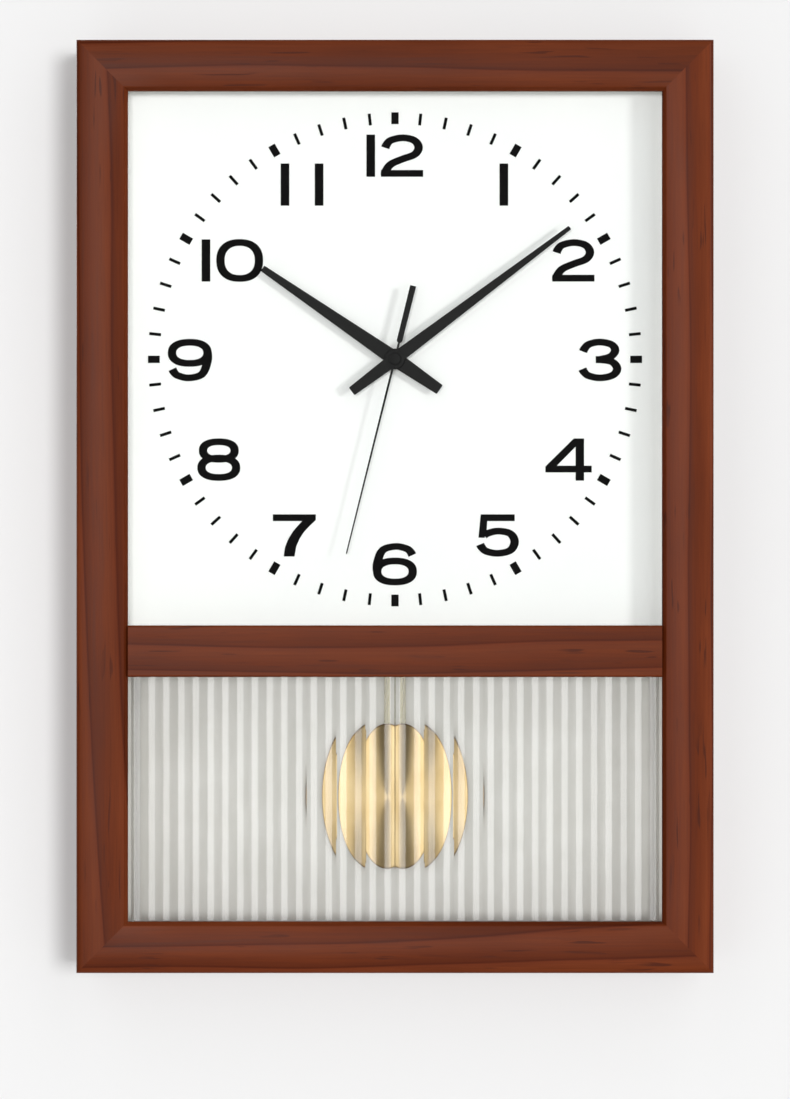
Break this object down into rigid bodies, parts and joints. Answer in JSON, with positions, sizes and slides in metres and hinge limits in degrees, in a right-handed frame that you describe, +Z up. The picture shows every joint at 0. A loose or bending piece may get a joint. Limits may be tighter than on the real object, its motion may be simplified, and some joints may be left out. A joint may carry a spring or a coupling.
{
  "type": "wall clock",
  "caption": "Rectangular wooden wall clock with a square white dial over a fluted glass window, with a quartz movement and a swinging brass pendulum.",
  "frame": {"origin": "centre of the hanger plate's keyhole entry, on the plate's rear face", "axes": "+X to the right seen from the front, +Y towards the wall, +Z up; the dial faces -Y"},
  "size_m": [0.34, 0.058, 0.498],
  "materials": {
    "stained_wood": "satin lacquer over brown-stained softwood, fine straight grain",
    "bead_wood": "plain sanded softwood",
    "fibreboard": "smooth hardboard, matt",
    "clear_glass": "clear float glass",
    "fluted_glass": "clear glass with hollow vertical flutes",
    "dial_white": "matt white dial paper on board",
    "print_black": "matt black print",
    "hand_black": "matt black lacquer",
    "card_white": "matt white card and spacer strip",
    "bob_brass": "turned and lacquered brass, circular brush marks",
    "rod_brass": "satin brass strip",
    "bright_brass": "machined brass",
    "steel": "bright zinc-plated steel",
    "black_plastic": "moulded black plastic with a fine grain",
    "white_plastic": "moulded white acetal",
    "copper": "enamelled copper wire",
    "board_green": "green circuit board",
    "battery_jacket": "plain printed steel jacket, no lettering",
    "rubber": "soft black rubber",
    "felt": "dark wool felt",
    "magnet": "sintered magnet"
  },
  "bodies": {
    "case": {"top_rail": "stained_wood", "bottom_rail": "stained_wood", "left_stile": "stained_wood", "right_stile": "stained_wood", "mid_rail": "stained_wood", "mid_rail_dowels": "bead_wood", "corner_nails": "steel", "dial_glass": "clear_glass", "dial_spacers": "card_white", "dial_board": "dial_white", "dial_beads": "bead_wood", "dial_print": "print_black", "fluted_glass": "fluted_glass", "window_beads": "bead_wood", "lining_card": "card_white", "back_board": "fibreboard", "back_board_screws": "steel", "hanger_plate": "bright_brass", "hanger_screws": "steel", "felt_pads": "felt", "rubber_gasket": "rubber", "movement_front_cover": "black_plastic", "movement_rear_cover": "black_plastic", "centre_bushing": "bright_brass", "fixing_washer": "steel", "fixing_nut": "bright_brass", "train_plate": "white_plastic", "stator": "steel", "coil_bobbin": "white_plastic", "coil_winding": "copper", "circuit_board": "board_green", "battery": "battery_jacket", "battery_contact_positive": "steel", "battery_contact_negative": "steel", "pendulum_coil": "copper", "pendulum_pivot_pin": "steel"},
    "hour": {"hour_wheel": "white_plastic", "hour_hand": "hand_black", "hour_hand_collar": "hand_black"},
    "minute": {"minute_arbor": "white_plastic", "minute_hand": "hand_black", "minute_hand_collar": "hand_black"},
    "setting": {"minute_wheel": "white_plastic", "setting_knob": "black_plastic"},
    "centre": {"centre_wheel": "white_plastic"},
    "third": {"third_wheel": "white_plastic"},
    "second": {"second_arbor": "white_plastic", "second_hand": "hand_black", "second_hand_cap": "hand_black"},
    "intermediate": {"intermediate_wheel": "white_plastic"},
    "rotor_body": {"rotor": "magnet"},
    "pendulum": {"pendulum_lever": "white_plastic", "pendulum_magnet": "magnet", "pendulum_rod": "rod_brass", "pendulum_bob": "bob_brass", "bob_clip": "rod_brass"}
  },
  "joints": [
    {"name": "minute_turn", "type": "hinge", "parent": "case", "child": "minute", "pos_m": [0, -0.0466, -0.16], "axis": [0, 1, 0], "continuous": true},
    {"name": "hour_turn", "type": "hinge", "parent": "case", "child": "hour", "pos_m": [0, -0.0448, -0.16], "axis": [0, 1, 0], "continuous": true},
    {"name": "setting_turn", "type": "hinge", "parent": "case", "child": "setting", "pos_m": [0.00778, -0.014, -0.15222], "axis": [0, 1, 0], "continuous": true},
    {"name": "second_turn", "type": "hinge", "parent": "case", "child": "second", "pos_m": [0, -0.0481, -0.16], "axis": [0, 1, 0], "continuous": true},
    {"name": "third_turn", "type": "hinge", "parent": "case", "child": "third", "pos_m": [-0.00721, -0.025, -0.16721], "axis": [0, 1, 0], "continuous": true},
    {"name": "centre_turn", "type": "hinge", "parent": "case", "child": "centre", "pos_m": [0, -0.029, -0.16], "axis": [0, 1, 0], "continuous": true},
    {"name": "intermediate_turn", "type": "hinge", "parent": "case", "child": "intermediate", "pos_m": [-0.00611, -0.02, -0.15389], "axis": [0, 1, 0], "continuous": true},
    {"name": "rotor_turn", "type": "hinge", "parent": "case", "child": "rotor_body", "pos_m": [-0.00611, -0.019, -0.14633], "axis": [0, 1, 0], "continuous": true},
    {"name": "pendulum_swing", "type": "hinge", "parent": "case", "child": "pendulum", "pos_m": [0, -0.0123, -0.206], "axis": [0, 1, 0], "range_deg": [-8, 8]}
  ],
  "couplings": [
    {"joint": "hour_turn", "follows": "minute_turn", "ratio": 0.083333},
    {"joint": "setting_turn", "follows": "minute_turn", "ratio": -0.33333},
    {"joint": "third_turn", "follows": "second_turn", "ratio": -0.13333},
    {"joint": "centre_turn", "follows": "second_turn", "ratio": 0.016667},
    {"joint": "intermediate_turn", "follows": "second_turn", "ratio": -5},
    {"joint": "rotor_turn", "follows": "second_turn", "ratio": 30}
  ]
}
